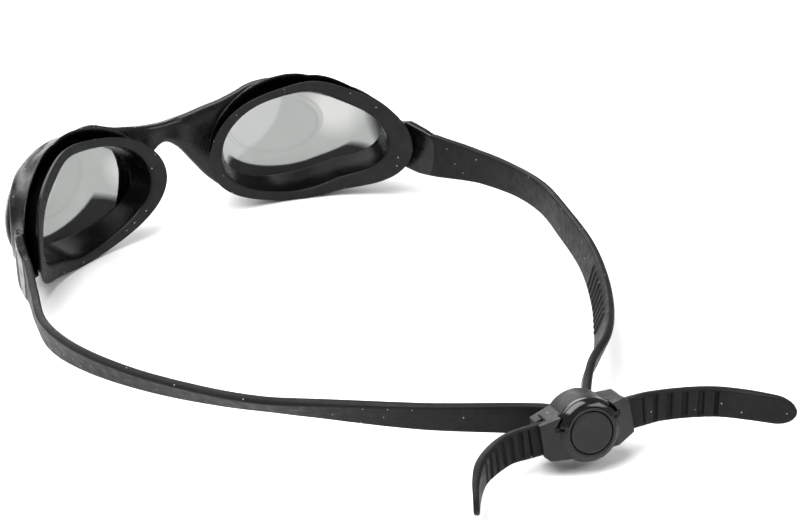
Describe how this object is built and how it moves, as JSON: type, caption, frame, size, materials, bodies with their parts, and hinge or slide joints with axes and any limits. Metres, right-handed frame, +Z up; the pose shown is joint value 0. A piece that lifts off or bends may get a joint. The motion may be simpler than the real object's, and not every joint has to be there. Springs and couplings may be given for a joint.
{
  "type": "swim goggles",
  "caption": "Swim goggles with deep eyecups joined by a moulded nose bridge, soft face seals, smoked lenses and an elastic strap adjusted by a push-button buckle.",
  "frame": {"origin": "on the floor, under the middle of the whole object as it stands on its eyecups with the strap spread behind", "axes": "+X to the wearer's right, +Y forward through the lenses, +Z up"},
  "size_m": [0.1614, 0.2344, 0.0407],
  "materials": {
    "frame_rubber": "satin moulded soft plastic",
    "seal_rubber": "matte soft seal",
    "lens_smoke": "clear smoke grey, polished",
    "strap_rubber": "satin rubber",
    "buckle_satin": "fine satin",
    "buckle_gloss": "polished black",
    "spring_steel": "drawn wire and rod"
  },
  "bodies": {
    "goggle_front": {"frame": "frame_rubber", "seal_right": "seal_rubber", "seal_left": "seal_rubber", "lens_right": "lens_smoke", "lens_left": "lens_smoke"},
    "strap_loop": {"strap_right": "strap_rubber", "strap_left": "strap_rubber", "buckle_base": "buckle_satin", "buckle_cover": "buckle_satin", "dome_inlay": "buckle_gloss", "strap_bar_right": "spring_steel", "strap_bar_left": "spring_steel", "pawl_pin_right": "spring_steel", "pawl_pin_left": "spring_steel", "button_spring": "spring_steel"},
    "push_button": {"button": "buckle_satin"},
    "pawl_body_right": {"pawl_right": "buckle_satin"},
    "pawl_body_left": {"pawl_left": "buckle_satin"},
    "tail_right": {"strap_tail_right": "strap_rubber"},
    "tail_left": {"strap_tail_left": "strap_rubber"}
  },
  "joints": [
    {"name": "strap_swing", "type": "hinge", "parent": "goggle_front", "child": "strap_loop", "pos_m": [0.00226, 0.065, 0.01416], "axis": [1, 0, 0], "range_deg": [-20, 20], "stiffness_Nm_per_rad": 0.6},
    {"name": "button_press", "type": "slide", "parent": "strap_loop", "child": "push_button", "axis": [0.3093, 0.9387, -0.1523], "range_m": [0, 0.0012], "stiffness_N_per_m": 800, "deforming": ["button_spring"]},
    {"name": "pawl_rock_right", "type": "hinge", "parent": "strap_loop", "child": "pawl_body_right", "pos_m": [0.00416, -0.09516, 0.01095], "axis": [-0.043, 0.1738, 0.9838], "range_deg": [-20, 0]},
    {"name": "pawl_rock_left", "type": "hinge", "parent": "strap_loop", "child": "pawl_body_left", "pos_m": [-0.00705, -0.09165, 0.00984], "axis": [-0.043, 0.1738, 0.9838], "range_deg": [0, 20]},
    {"name": "tail_flex_right", "type": "hinge", "parent": "strap_loop", "child": "tail_right", "pos_m": [0.01168, -0.09493, 0.01124], "axis": [-0.043, 0.1738, 0.9838], "range_deg": [-20, 20], "stiffness_Nm_per_rad": 0.02},
    {"name": "tail_flex_left", "type": "hinge", "parent": "strap_loop", "child": "tail_left", "pos_m": [-0.01302, -0.08719, 0.00879], "axis": [-0.043, 0.1738, 0.9838], "range_deg": [-20, 20], "stiffness_Nm_per_rad": 0.02}
  ],
  "couplings": [
    {"joint": "pawl_rock_right", "follows": "button_press", "rad_per_m": -290},
    {"joint": "pawl_rock_left", "follows": "button_press", "rad_per_m": 290}
  ]
}
